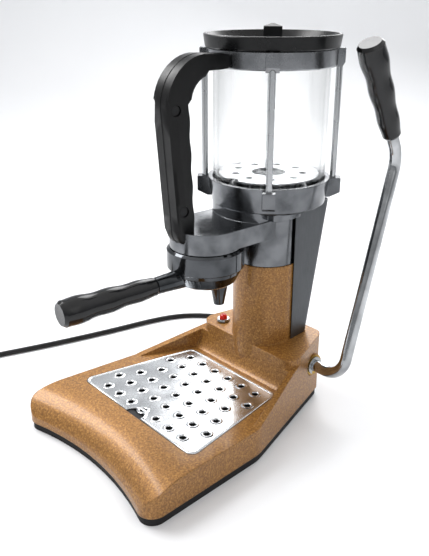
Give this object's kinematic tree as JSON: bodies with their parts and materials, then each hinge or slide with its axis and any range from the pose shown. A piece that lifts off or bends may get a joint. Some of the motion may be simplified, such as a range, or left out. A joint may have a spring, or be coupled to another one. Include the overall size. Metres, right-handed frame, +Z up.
{
  "type": "manual lever espresso machine",
  "caption": "Home espresso machine pumped by a side lever, with a glass water reservoir, a long looped handle, a bayonet portafilter, a drip tray and a coiled mains cord.",
  "frame": {"origin": "on the table surface, under the common axis of the column, pump cylinder and reservoir", "axes": "+Z up, +X towards the lever side, which is the right-hand side of a person facing the front; the front edge of the drip tray faces -Y"},
  "size_m": [0.4543, 0.4242, 0.3795],
  "materials": {
    "enamel": "hammertone enamel, gloss",
    "rubber": "matte",
    "dark_sheet": "satin",
    "steel": "satin",
    "bright_sheet": "polished",
    "brass": "machined",
    "nylon": "matte",
    "chrome": "polished",
    "bakelite": "gloss",
    "satin_aluminium": "satin cast",
    "glass": "clear",
    "black_plastic": "satin",
    "grey_cover": "satin",
    "red_lens": "clear red",
    "cord": "semi-gloss"
  },
  "bodies": {
    "machine": {"base_casting": "enamel", "rubber_sole": "rubber", "bottom_cover": "dark_sheet", "bottom_cover_screws": "steel", "cylinder_liner": "brass", "rack_guide": "nylon", "rod_guide": "brass", "return_spring": "steel", "shaft_bushes": "brass", "group_casting": "satin_aluminium", "bayonet_pins": "steel", "group_gasket": "rubber", "shower_screen": "bright_sheet", "lower_seal": "rubber", "reservoir_glass": "glass", "upper_seal": "rubber", "top_ring": "satin_aluminium", "tie_rods": "bright_sheet", "tie_rod_nuts": "chrome", "guard_disc": "bright_sheet", "guard_disc_legs": "bright_sheet", "heating_element": "steel", "inlet_valve": "rubber", "handle_half_right": "black_plastic", "handle_half_left": "black_plastic", "handle_screws": "steel", "rear_cover": "grey_cover", "cover_bracket": "satin_aluminium", "rear_cover_screw": "steel", "thermostat": "nylon", "lamp_bezel": "chrome", "lamp_lens": "red_lens", "strain_relief": "rubber", "power_cord": "cord", "cord_coil": "cord", "cord_plug": "cord", "plug_pins": "brass", "cord_tie": "cord"},
    "lever": {"lever_rod": "chrome", "lever_grip": "bakelite", "shaft_clip": "steel", "sector_gear": "steel", "gear_pin": "steel"},
    "piston_group": {"piston": "brass", "piston_seals": "rubber", "piston_rack": "steel"},
    "portafilter": {"portafilter_body": "chrome", "filter_basket": "bright_sheet", "portafilter_grip": "bakelite"},
    "lid_group": {"lid": "black_plastic", "lid_knob": "black_plastic"},
    "drip_pan": {"drip_pan": "dark_sheet"},
    "drip_grid": {"drip_grid": "bright_sheet"}
  },
  "joints": [
    {"name": "lever_swing", "type": "hinge", "parent": "machine", "child": "lever", "pos_m": [0, 0.016, 0.044], "axis": [1, 0, 0], "range_deg": [0, 80], "stiffness_Nm_per_rad": 1.2, "springref_deg": -34.38},
    {"name": "piston_slide", "type": "slide", "parent": "machine", "child": "piston_group", "axis": [0, 0, -1], "range_m": [0, 0.0212], "deforming": ["return_spring"]},
    {"name": "portafilter_turn", "type": "hinge", "parent": "machine", "child": "portafilter", "pos_m": [0, -0.0823, 0.17], "axis": [0, 0, 1], "range_deg": [-35, 0]},
    {"name": "lid_lift", "type": "slide", "parent": "machine", "child": "lid_group", "axis": [0, 0, 1], "range_m": [0, 0.06]},
    {"name": "drip_pan_lift", "type": "slide", "parent": "machine", "child": "drip_pan", "axis": [0, 0, 1], "range_m": [0, 0.03]},
    {"name": "drip_grid_lift", "type": "slide", "parent": "drip_pan", "child": "drip_grid", "axis": [0, 0, 1], "range_m": [0, 0.03]}
  ],
  "couplings": [
    {"joint": "piston_slide", "follows": "lever_swing", "m_per_rad": 0.015}
  ]
}
